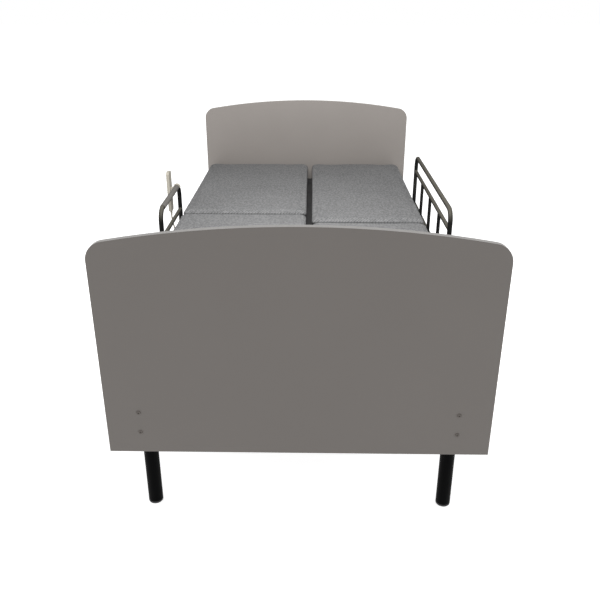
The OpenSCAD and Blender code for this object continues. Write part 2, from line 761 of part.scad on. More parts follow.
// Handset: rounded case with four rocker pockets, a hook over the handle's grip, and a strain relief
module handset() {
    x0 = handset_c[0] - handset_t / 2;
    x1 = handset_c[0] + handset_t / 2;
    y = handset_c[1];
    hook_in = grip_r + 1;
    hook_out = hook_in + 3;
    hook_w = 14;
    hook_z = handle_top - 0.9;
    color("beige") {
        difference() {
            translate([x0, 0, 0]) rotate([90, 0, 90]) linear_extrude(handset_t)
                round_rect(y - handset_w / 2, y + handset_w / 2, handset_z[0], handset_z[1], 10);
            for (z = rocker_z) {
                block([x0 - cut, y - rocker_half - 0.5, z - 9.6], [x0 + 7.5, y + rocker_half + 0.5, z + 9.6]);
                rod_y([rocker_axis_x, y, z], rocker_pin_r + fit_gap, 2 * rocker_pin_end + 1);
            }
        }
        translate([handset_c[0], y, handset_z[0] - relief_l]) cylinder(r1 = 3.6, r2 = 5.5, h = relief_l + 2);
        difference() {
            union() {
                rod_y([-handle_x, y, hook_z], hook_out, hook_w);
                block([x1 - 1, y - hook_w / 2, hook_z - 34],
                      [-handle_x - hook_in + 1, y + hook_w / 2, hook_z]);
            }
            rod_y([-handle_x, y, hook_z], hook_in, hook_w + 2);
            block([-handle_x - hook_in, y - hook_w, hook_z - 40],
                  [-handle_x + hook_out + 1, y + hook_w, hook_z]);
        }
    }
}

// A rocker key with a dished face, which tilts on its two trunnions in the handset's case
module rocker(z) {
    x0 = -handset_out_x;
    y = handset_c[1];
    color("gray") {
        difference() {
            block([x0, y - rocker_half, z - 9], [x0 + 7, y + rocker_half, z + 9]);
            rod_y([x0 - 17.4, y, z], 18.4, 40);
        }
        rod_y([rocker_axis_x, y, z], rocker_pin_r, 2 * rocker_pin_end);
    }
}
module left_back_rocker() { rocker(rocker_z[0]); }
module left_leg_rocker() { rocker(rocker_z[1]); }
module right_back_rocker() { rocker(rocker_z[2]); }
module right_leg_rocker() { rocker(rocker_z[3]); }

// A tube bent to an upside-down U in the plane x, with feet at foot_z
module bent_u(x, ys, top, foot_z, r) {
    rod_y([x, (ys[0] + ys[1]) / 2, top], r, ys[1] - ys[0] - 2 * tube_bend);
    for (y = ys) translate([x, y, foot_z]) cylinder(r = r, h = top - tube_bend - foot_z);
    for (e = [[ys[0] + tube_bend, 90], [ys[1] - tube_bend, 0]])
        translate([x, e[0], top - tube_bend]) rotate([90, 0, 90]) rotate([0, 0, e[1]])
            rotate_extrude(angle = 90) translate([tube_bend, 0]) circle(r);
}

// Long side rail: bent top tube, middle bar, three uprights and the shaft that it folds down on
module side_rail() {
    step = (rail_y[1] - rail_y[0]) / 4;
    color("black") {
        bent_u(rail_x, rail_y, rail_top, rail_axis_z, rail_d / 2);
        rod_y([rail_x, (rail_y[0] + rail_y[1]) / 2, rail_mid], bar_r, rail_y[1] - rail_y[0]);
        for (i = [1 : 3]) translate([rail_x, rail_y[0] + i * step, rail_axis_z])
            cylinder(r = upright_r, h = rail_mid - rail_axis_z);
        rod_y([rail_axis_x, (rail_y[0] + rail_y[1]) / 2, rail_axis_z], rail_shaft_r,
              rail_y[1] - rail_y[0] + 40);
    }
}

// Bracket on a side beam's outer face: base plate, arm, and a round boss at the rail's plane
module bracket_base(s, y) {
    x = leg_x + beam_w / 2;
    difference() {
        block([s > 0 ? x : -x - 5, y - 32, bracket_z - 26], [s > 0 ? x + 5 : -x, y + 32, bracket_z + 26]);
        for (o = [-22, 22]) rod_x([s * (x + 2.5), y + o, bracket_z], bolt_hole_r, 12);
    }
}

// Two bearings that the side rail's shaft turns in; the first carries the lock's boss
module rail_brackets() {
    x = leg_x + beam_w / 2;
    ring_r = 15;
    color("black") for (y = rail_bracket_y) {
        lock = y == rail_bracket_y[0];
        bracket_base(1, y);
        difference() {
            union() {
                hull() {
                    block([x, y - 8, bracket_z - 24], [x + 5, y + 8, bracket_z + 24]);
                    rod_y([rail_axis_x, y, rail_axis_z], 12, 16);
                }
                rod_y([rail_axis_x, y, rail_axis_z], ring_r, 30);
                if (lock) rod_x([lock_face_x - 8, y, rail_axis_z], 9, 16);
            }
            rod_y([rail_axis_x, y, rail_axis_z], rail_shaft_r + fit_gap, 40);
            if (lock) rod_x([lock_face_x, y, rail_axis_z], lock_pin_r + fit_gap, 40);
        }
    }
}

// Spring-loaded lock pin with its round pull knob
module rail_lock_knob() {
    knob_r = 9;
    edge = 3;
    face = lock_face_x + 0.3;
    h = handset_out_x - face;
    tip = rail_axis_x + rail_shaft_r + 1;
    color("black") {
        rod_x([(tip + face + edge) / 2, rail_bracket_y[0], rail_axis_z], lock_pin_r, face + edge - tip);
        translate([face, rail_bracket_y[0], rail_axis_z]) rotate([0, 90, 0]) rotate_extrude() {
            square([knob_r - edge, h]);
            translate([0, edge]) square([knob_r, h - 2 * edge]);
            for (z = [edge, h - edge]) translate([knob_r - edge, z]) circle(edge);
        }
    }
}

// Short assist handle at the left: bent tube with a middle bar
module assist_handle() {
    color("black") {
        bent_u(-handle_x, handle_y, handle_top, handle_foot_z, rail_d / 2);
        rod_y([-handle_x, (handle_y[0] + handle_y[1]) / 2, handle_mid], bar_r, handle_y[1] - handle_y[0]);
    }
}

// Foam sleeve on the assist handle's top bar
module handle_grip() {
    l = handle_y[1] - handle_y[0] - 2 * tube_bend + 4;
    color("dimgray") difference() {
        rod_y([-handle_x, (handle_y[0] + handle_y[1]) / 2, handle_top], grip_r, l - 6);
        rod_y([-handle_x, (handle_y[0] + handle_y[1]) / 2, handle_top], rail_d / 2 + 0.05, l);
    }
}

// Clamps that hold the assist handle's feet
module handle_clamps() {
    x = leg_x + beam_w / 2;
    color("black") for (y = handle_y) {
        bracket_base(-1, y);
        difference() {
            union() {
                block([-handle_x, y - 11, bracket_z - 18], [-x, y + 11, bracket_z + 18]);
                translate([-handle_x, y, bracket_z - 20]) cylinder(r = 14, h = 40);
            }
            translate([-handle_x, y, bracket_z - 30]) cylinder(r = rail_d / 2 + 0.04, h = 60);
        }
    }
}

headboard();
footboard();
board_bolts();
left_side_beam();
right_side_beam();
centre_beam();
head_cross_tube();
foot_cross_tube();
head_drive_beam();
foot_drive_beam();
head_left_leg();
head_right_leg();
foot_left_leg();
foot_right_leg();
leg_glides();
frame_bolts();
rest_buffers();
left_seat_tray();
right_seat_tray();
left_seat_pad();
right_seat_pad();
seat_hinge_pins();
left_back_tray();
left_back_pad();
left_thigh_tray();
left_thigh_pad();
left_calf_tray();
left_calf_pad();
left_knee_pins();
left_calf_skids();
right_back_tray();
right_back_pad();
right_thigh_tray();
right_thigh_pad();
right_calf_tray();
right_calf_pad();
right_knee_pins();
right_calf_skids();
left_back_drive();
left_back_rod();
left_leg_drive();
left_leg_rod();
right_back_drive();
right_back_rod();
right_leg_drive();
right_leg_rod();
control_box();
drive_cables();
handset();
left_back_rocker();
left_leg_rocker();
right_back_rocker();
right_leg_rocker();
handset_cord();
side_rail();
rail_brackets();
rail_lock_knob();
assist_handle();
handle_grip();
handle_clamps();
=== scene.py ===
"""Looks of an adjustable bed base: boards, paint, upholstery, drives, handset and a plain studio.

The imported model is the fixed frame: nothing in it is moved or resized here. Everything is in metres in the
model's own frame: +Y points to the head end, +X to the right and +Z up, and the floor is at z = 0.
"""

import logging
import math
from dataclasses import dataclass
from enum import Enum

import bmesh
import bpy
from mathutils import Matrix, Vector, noise


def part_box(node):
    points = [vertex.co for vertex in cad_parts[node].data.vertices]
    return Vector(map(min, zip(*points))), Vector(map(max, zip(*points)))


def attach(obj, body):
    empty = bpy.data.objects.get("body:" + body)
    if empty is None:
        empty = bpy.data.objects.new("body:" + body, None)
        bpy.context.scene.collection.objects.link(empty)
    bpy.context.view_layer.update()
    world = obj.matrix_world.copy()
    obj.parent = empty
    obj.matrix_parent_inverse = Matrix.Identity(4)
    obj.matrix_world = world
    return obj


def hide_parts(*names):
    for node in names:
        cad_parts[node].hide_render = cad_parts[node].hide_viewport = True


Colour = tuple[float, float, float]
Point = tuple[float, float, float]

LOG = logging.getLogger("bed")
MM = 0.001
TAU = 2 * math.pi

WELD_GAP = 0.005 * MM
FLAT_ANGLE = math.radians(0.6)
SHARP_ANGLE = math.radians(32)
BEVEL_SEGMENTS = 3

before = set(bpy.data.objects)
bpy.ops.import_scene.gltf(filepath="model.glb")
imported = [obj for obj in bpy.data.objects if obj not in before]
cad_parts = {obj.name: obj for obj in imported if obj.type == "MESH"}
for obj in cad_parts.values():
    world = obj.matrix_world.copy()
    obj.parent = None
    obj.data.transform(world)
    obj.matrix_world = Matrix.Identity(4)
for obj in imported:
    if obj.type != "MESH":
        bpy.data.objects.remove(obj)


# ---------------------------------------------------------------- shader maths


class Signal:
    """A shader socket on which Python's arithmetic adds Math nodes."""

    def __init__(self, shader: "Shader", socket: bpy.types.NodeSocket) -> None:
        """Keeps the socket and the shader that it belongs to."""
        self.shader = shader
        self.socket = socket

    def _math(self, operation: str, *values: "Operand") -> "Signal":
        """Adds one Math node with the given operation and values."""
        return self.shader.node("ShaderNodeMath", {"operation": operation}, dict(enumerate(values)))

    def __add__(self, other: "Operand") -> "Signal":
        """The sum of two values."""
        return self._math("ADD", self, other)

    def __sub__(self, other: "Operand") -> "Signal":
        """The difference of two values."""
        return self._math("SUBTRACT", self, other)

    def __rsub__(self, other: float) -> "Signal":
        """The difference of a number and this value."""
        return self._math("SUBTRACT", other, self)

    def __mul__(self, other: "Operand") -> "Signal":
        """The product of two values."""
        return self._math("MULTIPLY", self, other)

    __radd__ = __add__
    __rmul__ = __mul__

    def __abs__(self) -> "Signal":
        """The value without its sign."""
        return self._math("ABSOLUTE", self)

    def sine(self) -> "Signal":
        """The sine of the value in radians."""
        return self._math("SINE", self)

    def wave(self, pitch: float) -> "Signal":
        """A sine wave of this value, from -1 to 1, that repeats every pitch."""
        return (self * (TAU / pitch)).sine()

    def step(self, low: float, high: float) -> "Signal":
        """Rises smoothly from 0 at low to 1 at high.

        Args:
            low: value at and below which the result is 0.
            high: value at and above which the result is 1.

        Returns:
            The eased and clamped value.
        """
        return self.shader.node(
            "ShaderNodeMapRange",
            {"interpolation_type": "SMOOTHSTEP"},
            {"Value": self, "From Min": low, "From Max": high},
        )


Operand = Signal | float


class Shader:
    """A new material, its surface shader, and the one way to add nodes to it."""

    def __init__(self, name: str) -> None:
        """Makes an empty material with a Principled surface.

        Args:
            name: name of the material.
        """
        self.material = bpy.data.materials.new(name)
        self.material.use_nodes = True
        self.tree = self.material.node_tree
        self.tree.nodes.clear()
        self.surface = self.tree.nodes.new("ShaderNodeBsdfPrincipled")
        output = self.tree.nodes.new("ShaderNodeOutputMaterial")
        self.tree.links.new(self.surface.outputs[0], output.inputs["Surface"])

    def node(self, kind: str, settings: dict, inputs: dict, output: int | str = 0) -> Signal:
        """Adds a node.

        Args:
            kind: the node's type.
            settings: its own settings, which are set first.
            inputs: values or signals for its sockets, by name or number.
            output: the socket that is wanted.

        Returns:
            The wanted output as a signal.
        """
        made = self.tree.nodes.new(kind)
        for name, value in settings.items():
            setattr(made, name, value)
        self._feed(made, inputs)
        return Signal(self, made.outputs[output])

    def _feed(self, node: bpy.types.Node, inputs: dict) -> None:
        """Sets or links the inputs of a node."""
        for key, value in inputs.items():
            socket = node.inputs[key]
            if isinstance(value, Signal):
                self.tree.links.new(value.socket, socket)
            elif isinstance(value, tuple) and socket.type == "RGBA":
                socket.default_value = (*value, 1.0)
            else:
                socket.default_value = value

    def place(self) -> Signal:
        """The point on the piece, in metres in the model's frame."""
        return self.node("ShaderNodeTexCoord", {}, {}, "Object")

    def axes(self) -> tuple[Signal, Signal, Signal]:
        """The three coordinates of the point on the piece."""
        return self.split(self.place())

    def facing(self) -> tuple[Signal, Signal, Signal]:
        """The three parts of the direction in which the surface faces."""
        return self.split(self.node("ShaderNodeNewGeometry", {}, {}, "Normal"))

    def split(self, vector: Signal) -> tuple[Signal, Signal, Signal]:
        """The three parts of a vector."""
        first = self.node("ShaderNodeSeparateXYZ", {}, {0: vector})
        outputs = first.socket.node.outputs
        return first, Signal(self, outputs[1]), Signal(self, outputs[2])

    def grain(self, scale: float, detail: float = 2.0, stretch: Point = (1.0, 1.0, 1.0)) -> Signal:
        """Noise from 0 to 1.

        Args:
            scale: how many grains a metre holds, roughly.
            detail: how many finer layers are added.
            stretch: factors on the three coordinates.

        Returns:
            The noise value.
        """
        point = self.node("ShaderNodeVectorMath", {"operation": "MULTIPLY"}, {0: self.place(), 1: stretch})
        return self.node("ShaderNodeTexNoise", {}, {"Vector": point, "Scale": scale, "Detail": detail})

    def mix(self, share: Operand, first: "Colour | Signal", second: "Colour | Signal") -> Signal:
        """A blend of two colours, the second one where share is 1."""
        return self.node("ShaderNodeMix", {"data_type": "RGBA"}, {0: share, 6: first, 7: second}, 2)

    def relief(self, height: Signal, depth: float, strength: float = 1.0) -> Signal:
        """A surface direction that follows a height from 0 to 1.

        Args:
            height: the height.
            depth: what a height of 1 stands for, in metres.
            strength: how much of it shows.

        Returns:
            The direction, for a Normal socket.
        """
        return self.node("ShaderNodeBump", {}, {"Height": height, "Distance": depth, "Strength": strength})

    def finish(self, inputs: dict) -> bpy.types.Material:
        """Sets the surface's inputs and returns the material."""
        self._feed(self.surface, inputs)
        return self.material


def darker(colour: Colour, share: float) -> Colour:
    """The colour times share."""
    return tuple(share * part for part in colour)


# ---------------------------------------------------------------- finishes


@dataclass(frozen=True)
class Laminate:
    """Satin melamine face on a board, with a glued edge band whose pale colour is partly a painted highlight
    along the edges.

    Attributes:
        face: colour of the faces.
        edge: colour of the edge band, paler than the board, partly as a painted highlight along the edges.
        band: share of the facing along Y below which a surface is edge band.
    """

    face: Colour = (0.163, 0.149, 0.138)
    edge: Colour = (0.620, 0.600, 0.582)
    band: float = 0.55

    def material(self) -> bpy.types.Material:
        """Builds the material: pearl-grained face, and a pale edge band, partly painted highlight, where the
        board doesn't face along Y.
        """
        s = Shader("laminate")
        _, along, _ = s.facing()
        is_edge = 1.0 - abs(along).step(self.band, self.band + 0.25)
        cloud = s.grain(5.0, 3.0)
        pearl = s.grain(850.0, 2.0)
        shade = cloud.step(0.3, 0.75) * 0.5 + pearl.step(0.35, 0.7) * 0.5
        face = s.mix(shade, darker(self.face, 0.95), self.face)
        # The edge band is painted pale: partly the band's own colour, partly a painted highlight along the
        # rounded edges.
        edge = s.mix(s.grain(60.0, 2.0).step(0.3, 0.7), darker(self.edge, 0.94), self.edge)
        return s.finish({
            "Base Color": s.mix(is_edge, face, edge),
            "Roughness": 0.44 + 0.10 * cloud - 0.06 * is_edge,
            "Normal": s.relief(pearl, 0.10 * MM, 0.45),
            "Specular IOR Level": 0.32,
        })


@dataclass(frozen=True)
class PowderCoat:
    """Baked paint on steel, with the fine dimples of powder, a few dull rubs, and a painted highlight on the
    faces that face up.

    Attributes:
        name: name of the material.
        colour: colour of the paint away from the painted highlight and the rubs.
        top_highlight_and_rub: colour painted on faces that face up as a painted highlight from above, and the
            colour of rubbed patches.
        roughness: roughness of the paint away from rubs and specks.
        gloss: strength of its reflections.
        peel: how many dimples a metre holds, roughly.
    """

    name: str
    colour: Colour
    top_highlight_and_rub: Colour
    roughness: float = 0.38
    gloss: float = 0.3
    peel: float = 420.0

    def material(self) -> bpy.types.Material:
        """Builds the material: orange peel, rubbed patches, and a speckled painted highlight where it faces
        up.
        """
        s = Shader(self.name)
        dimple = s.grain(self.peel, 1.5)
        rub = s.grain(9.0, 5.0).step(0.52, 0.72)
        speck = s.grain(140.0, 3.0).step(0.40, 0.75)
        _, _, up = s.facing()
        # Painted highlight: faces that face up are lightened towards the highlight colour, broken up by
        # specks.
        painted_top_light = up.step(-0.1, 0.9) * (0.70 + 0.30 * speck)
        return s.finish({
            "Base Color": s.mix(painted_top_light + 0.10 * rub, self.colour, self.top_highlight_and_rub),
            "Roughness": self.roughness + 0.14 * rub + 0.06 * speck,
            "Normal": s.relief(dimple, 0.12 * MM, 0.5),
            "Specular IOR Level": self.gloss,
        })


@dataclass(frozen=True)
class KnitFabric:
    """Grey knitted cover with small pressed diamonds, each crossed by short bars of yarn, and painted shade
    on the sides that face another pad.

    Attributes:
        light: colour of the yarns that stand out.
        dark: colour between them.
        diamond: size of a diamond.
        bar: pitch of the bars.
        yarn: pitch of the yarns.
        gap_shade_heights: heights below which the sides that face another pad are painted nearly black as
            painted shade in the seams and gaps, fading out between them.
        outside: distances from middle_x from which a side faces outward and gets no painted shade.
        middle_x: middle of both decks together.
    """

    light: Colour = (0.176, 0.176, 0.177)
    dark: Colour = (0.048, 0.048, 0.049)
    diamond: float = 12.0 * MM
    bar: float = 3.0 * MM
    yarn: float = 0.9 * MM
    gap_shade_heights: tuple[float, float] = (0.546, 0.5625)
    outside: tuple[float, float] = (0.482, 0.490)
    middle_x: float = -0.010

    def material(self) -> bpy.types.Material:
        """Builds the material: the pattern runs over edges too, because height is added to both ways."""
        s = Shader("knit_fabric")
        x, y, z = s.axes()
        across, along = x + z, y + z
        cell = abs((across + along).wave(2 * self.diamond) * (across - along).wave(2 * self.diamond))
        pillow = cell.step(0.05, 0.65)
        bars = 0.5 + 0.5 * (across + 0.35 * along).wave(self.bar)
        yarns = across.wave(self.yarn) * along.wave(self.yarn)
        cloud = s.grain(3.5, 4.0)
        fleck = s.grain(120.0, 3.0, (1.0, 0.5, 1.0)).step(0.30, 0.70)
        slub = s.grain(620.0, 2.0, (1.0, 0.25, 1.0))
        height = 0.50 * pillow + 0.28 * bars * pillow + 0.10 * yarns + 0.12 * slub + 0.08 * fleck
        shade = 0.34 * pillow + 0.24 * bars * pillow + 0.18 * slub + 0.22 * cloud + 0.30 * fleck
        knit = s.mix(shade.step(0.05, 1.15), self.dark, self.light)
        # Painted shade: the pad sides low in the seams and gaps, facing another pad, are coloured nearly
        # black, in the pad's rest coordinates.
        clear_of_painted_shade = z.step(*self.gap_shade_heights) + abs(x - self.middle_x).step(*self.outside)
        return s.finish({
            "Base Color": s.mix(clear_of_painted_shade, darker(self.dark, 0.2), knit),
            "Roughness": 0.80 + 0.12 * slub,
            "Normal": s.relief(height, 0.9 * MM, 0.6),
            "Sheen Weight": 0.03,
            "Sheen Roughness": 0.5,
            "Specular IOR Level": 0.12,
        })


@dataclass(frozen=True)
class PlatedSteel:
    """Zinc-plated or polished steel, with drawn lines and dull clouds.

    Attributes:
        name: name of the material.
        colour: colour of the brightest clouds.
        roughness: lowest roughness.
        spread: how much rougher the dullest clouds are.
    """

    name: str
    colour: Colour
    roughness: float
    spread: float

    def material(self) -> bpy.types.Material:
        """Builds the material: lines along Y, clouds in tone and gloss."""
        s = Shader(self.name)
        lines = s.grain(900.0, 2.0, (1.0, 0.04, 1.0))
        cloud = s.grain(70.0, 4.0)
        return s.finish({
            "Base Color": s.mix(cloud, darker(self.colour, 0.8), self.colour),
            "Metallic": 1.0,
            "Roughness": self.roughness + self.spread * cloud,
            "Normal": s.relief(lines, 0.02 * MM, 0.4),
        })


@dataclass(frozen=True)
class MouldedPlastic:
    """Moulded plastic or rubber with a fine eroded grain.

    Attributes:
        name: name of the material.
        colour: its colour.
        roughness: its middle roughness.
        pit: how many pits a metre holds, roughly.
        depth: depth of the pits.
        stain: brightness of the darker patches.
    """

    name: str
    colour: Colour
    roughness: float = 0.5
    pit: float = 1500.0
    depth: float = 0.06 * MM
    stain: float = 0.9

    def material(self) -> bpy.types.Material:
        """Builds the material: pitted grain, slight change of tone, duller where it is touched."""
        s = Shader(self.name)
        pits = s.grain(self.pit, 2.0)
        cloud = s.grain(22.0, 4.0)
        return s.finish({
            "Base Color": s.mix(cloud.step(0.3, 0.8), darker(self.colour, self.stain), self.colour),
            "Roughness": self.roughness + 0.12 * pits - 0.08 * cloud,
            "Normal": s.relief(pits, self.depth, 0.6),
        })


@dataclass(frozen=True)
class FoamSleeve:
    """Soft foam sleeve with open pores and faint turned rings.

    Attributes:
        colour: colour between the pores.
        ring: pitch of the rings.
    """

    colour: Colour = (0.078, 0.073, 0.066)
    ring: float = 4.0 * MM

    def material(self) -> bpy.types.Material:
        """Builds the material: pores of two sizes and rings across the sleeve."""
        s = Shader("foam_sleeve")
        _, along, _ = s.axes()
        pores = s.node("ShaderNodeTexVoronoi", {}, {"Vector": s.place(), "Scale": 900.0})
        rings = 0.5 + 0.5 * along.wave(self.ring)
        cloud = s.grain(40.0, 3.0)
        shade = pores.step(0.0, 0.6) * 0.6 + cloud * 0.4
        return s.finish({
            "Base Color": s.mix(shade, darker(self.colour, 0.6), self.colour),
            "Roughness": 0.78 + 0.12 * cloud,
            "Normal": s.relief(0.6 * pores + 0.4 * rings, 0.25 * MM, 0.5),
        })


class Finish(Enum):
    """The finishes of the bed, by what they are used for."""

    BOARD = Laminate()
    CAP = PowderCoat("bolt_paint", (0.120, 0.106, 0.095), (0.190, 0.170, 0.155), 0.35)
    FRAME = PowderCoat("frame_paint", (0.014, 0.014, 0.015), (0.030, 0.030, 0.031), 0.42, 0.2)
    LEG = PowderCoat("leg_paint", (0.0016, 0.0016, 0.0018), (0.006, 0.006, 0.006), 0.40, 0.03)
    TRAY = PowderCoat("tray_paint", (0.042, 0.042, 0.044), (0.050, 0.050, 0.052), 0.45, 0.2)
    RAIL = PowderCoat("rail_paint", (0.0040, 0.0040, 0.0040), (0.068, 0.064, 0.052), 0.46, 0.07)
    FABRIC = KnitFabric()
    ZINC = PlatedSteel("zinc_plate", (0.60, 0.60, 0.585), 0.26, 0.20)
    CHROME = PlatedSteel("polished_rod", (0.74, 0.74, 0.75), 0.10, 0.08)
    RUBBER = MouldedPlastic("rubber", (0.022, 0.022, 0.022), 0.72)
    NYLON = MouldedPlastic("natural_nylon", (0.66, 0.64, 0.57), 0.45)
    BLACK = MouldedPlastic("black_plastic", (0.017, 0.017, 0.018), 0.46)
    HOUSING = MouldedPlastic("drive_housing", (0.075, 0.076, 0.080), 0.52)
    CABLE = MouldedPlastic("cable_sheath", (0.016, 0.016, 0.017), 0.5, 700.0)
    CORD = MouldedPlastic("beige_sheath", (0.245, 0.222, 0.178), 0.5, 700.0)
    HANDSET = MouldedPlastic("ivory_case", (0.265, 0.247, 0.208), 0.5)
    KEY = MouldedPlastic("grey_keys", (0.24, 0.25, 0.26), 0.6, 1100.0)
    MARK = MouldedPlastic("white_print", (0.75, 0.75, 0.73), 0.6)
    FOAM = FoamSleeve()

    def material(self) -> bpy.types.Material:
        """The finish's material, built when it is first asked for."""
        name = "finish_" + self.name.lower()
        if name not in bpy.data.materials:
            self.value.material().name = name
        return bpy.data.materials[name]


class Edge(Enum):
    """How far an edge is rounded, by how the piece is made."""

    MACHINED = 0.6 * MM
    WELDED = 1.2 * MM
    BOARD = 1.6 * MM
    MOULDED = 2.0 * MM


# ---------------------------------------------------------------- helpers for pieces


def soften(piece: bpy.types.Object, edge: Edge) -> None:
    """Rounds the edges of a piece and smooths what is curved, with modifiers only.

    Args:
        piece: the piece, whose own mesh isn't changed.
        edge: how far its edges are rounded.
    """
    weld = piece.modifiers.new("weld", "WELD")
    weld.merge_threshold = WELD_GAP
    flat = piece.modifiers.new("flat_faces", "DECIMATE")
    flat.decimate_type = "DISSOLVE"
    flat.angle_limit = FLAT_ANGLE
    bevel = piece.modifiers.new("round_edges", "BEVEL")
    bevel.width = edge.value
    bevel.segments = BEVEL_SEGMENTS
    bevel.limit_method = "ANGLE"
    bevel.angle_limit = SHARP_ANGLE
    bevel.use_clamp_overlap = True
    bevel.miter_outer = "MITER_ARC"
    normals = piece.modifiers.new("even_shading", "WEIGHTED_NORMAL")
    normals.keep_sharp = True


def dress(node: str, finish: Finish, edge: Edge | None) -> bpy.types.Object:
    """Gives a CAD node its finish and, if asked, round edges.

    Args:
        node: name of the node.
        finish: its finish.
        edge: how far its edges are rounded, or None to leave them.

    Returns:
        The node's object.
    """
    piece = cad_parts[node]
    piece.data.materials.clear()
    piece.data.materials.append(finish.material())
    if edge is not None:
        soften(piece, edge)
    LOG.info("%s: %s", node, finish.name.lower())
    return piece


def new_piece(name: str, mesh: bpy.types.Mesh, finish: Finish, body: str) -> bpy.types.Object:
    """Puts a mesh into the scene as a piece of the bed.

    Args:
        name: name of the piece.
        mesh: its mesh, in the model's frame.
        finish: its finish.
        body: the body that it rides on.

    Returns:
        The new object.
    """
    piece = bpy.data.objects.new(name, mesh)
    bpy.context.scene.collection.objects.link(piece)
    mesh.materials.append(finish.material())
    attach(piece, body)
    LOG.info("%s rides on %s", name, body)
    return piece


def through(a: Vector, b: Vector, c: Vector, d: Vector, t: float) -> Vector:
    """A point on the smooth curve from b to c, with a and d as the points before and after."""
    return 0.5 * (2 * b + (c - a) * t + (2 * a - 5 * b + 4 * c - d) * t ** 2
                  + (3 * b - a - 3 * c + d) * t ** 3)


def smooth_path(points: list[Vector], steps: int) -> list[Vector]:
    """A smooth curve through the points.

    Args:
        points: the points, in order.
        steps: stretches between one point and the next.

    Returns:
        The points of the curve.
    """
    last = len(points) - 1
    path = [
        through(points[max(i - 1, 0)], points[i], points[i + 1], points[min(i + 2, last)], k / steps)
        for i in range(last)
        for k in range(steps)
    ]
    return [*path, points[last]]


# ---------------------------------------------------------------- studio


@dataclass
class Studio:
    """White floor, white surroundings, a soft lamp over the bed and the camera.

    Attributes:
        camera_at: place of the camera.
        camera_tilt: its tilt from straight down, in degrees.
        camera_turn: its turn to the left, in radians.
        lens: its focal length in millimetres.
        floor_half: half of the floor's width.
        floor_greys: darkest and lightest grey of the floor.
        lamp_at: place of the lamp.
        lamp_aim: point that it faces.
        lamp_size: width of the lamp.
        lamp_power: its power in watts.
        surround: how strongly the surroundings light the bed.
        glow: how strongly the floor glows.
    """

    camera_at: Point = (0.0314, -2.6307, 1.4015)
    camera_tilt: float = 66.02
    camera_turn: float = 0.017
    lens: float = 41.72
    floor_half: float = 30.0
    floor_greys: tuple[Colour, Colour] = ((0.90, 0.90, 0.90), (0.93, 0.93, 0.93))
    lamp_at: Point = (0.0, -0.60, 1.65)
    lamp_aim: Point = (0.0, 1.04, 1.00)
    lamp_size: float = 0.7
    lamp_power: float = 51.0
    surround: float = 0.6
    glow: float = 0.80

    def camera(self) -> None:
        """Stands the camera beyond the foot end and looks down along the bed."""
        data = bpy.data.cameras.new("camera")
        data.lens = self.lens
        data.clip_end = 200.0
        camera = bpy.data.objects.new("camera", data)
        camera.location = self.camera_at
        camera.rotation_euler = (math.radians(self.camera_tilt), 0.0, self.camera_turn)
        bpy.context.scene.collection.objects.link(camera)
        bpy.context.scene.camera = camera

    def floor(self) -> None:
        """Lays a pale floor that glows a little, so that it stays white under the bed."""
        s = Shader("floor")
        cloud = s.grain(2.0, 3.0)
        material = s.finish({
            "Base Color": s.mix(cloud, *self.floor_greys),
            "Roughness": 0.75 + 0.1 * cloud,
            "Specular IOR Level": 0.0,
            "Emission Color": (1.0, 1.0, 1.0),
            "Emission Strength": self.glow,
        })
        mesh = bpy.data.meshes.new("floor")
        h = self.floor_half
        mesh.from_pydata([(-h, -h, 0), (h, -h, 0), (h, h, 0), (-h, h, 0)], [], [(0, 1, 2, 3)])
        mesh.materials.append(material)
        floor = bpy.data.objects.new("floor", mesh)
        bpy.context.scene.collection.objects.link(floor)

    def light(self) -> None:
        """Hangs a soft lamp over the foot half, facing the headboard, in surroundings seen as white."""
        data = bpy.data.lights.new("lamp", "AREA")
        data.size = self.lamp_size
        data.energy = self.lamp_power
        lamp = bpy.data.objects.new("lamp", data)
        lamp.location = self.lamp_at
        aim = Vector(self.lamp_aim) - Vector(self.lamp_at)
        lamp.rotation_euler = aim.to_track_quat("-Z", "Y").to_euler()
        lamp.visible_camera = False
        bpy.context.scene.collection.objects.link(lamp)
        world = bpy.data.worlds.new("surroundings")
        world.use_nodes = True
        tree = world.node_tree
        background = tree.nodes["Background"]
        background.inputs["Color"].default_value = (1.0, 1.0, 1.0, 1.0)
        seen = tree.nodes.new("ShaderNodeLightPath")
        strength = tree.nodes.new("ShaderNodeMapRange")
        strength.inputs["To Min"].default_value = self.surround
        tree.links.new(seen.outputs["Is Camera Ray"], strength.inputs["Value"])
        tree.links.new(strength.outputs[0], background.inputs["Strength"])
        bpy.context.scene.world = world
        bpy.context.scene.view_settings.view_transform = "Standard"


# ---------------------------------------------------------------- cord


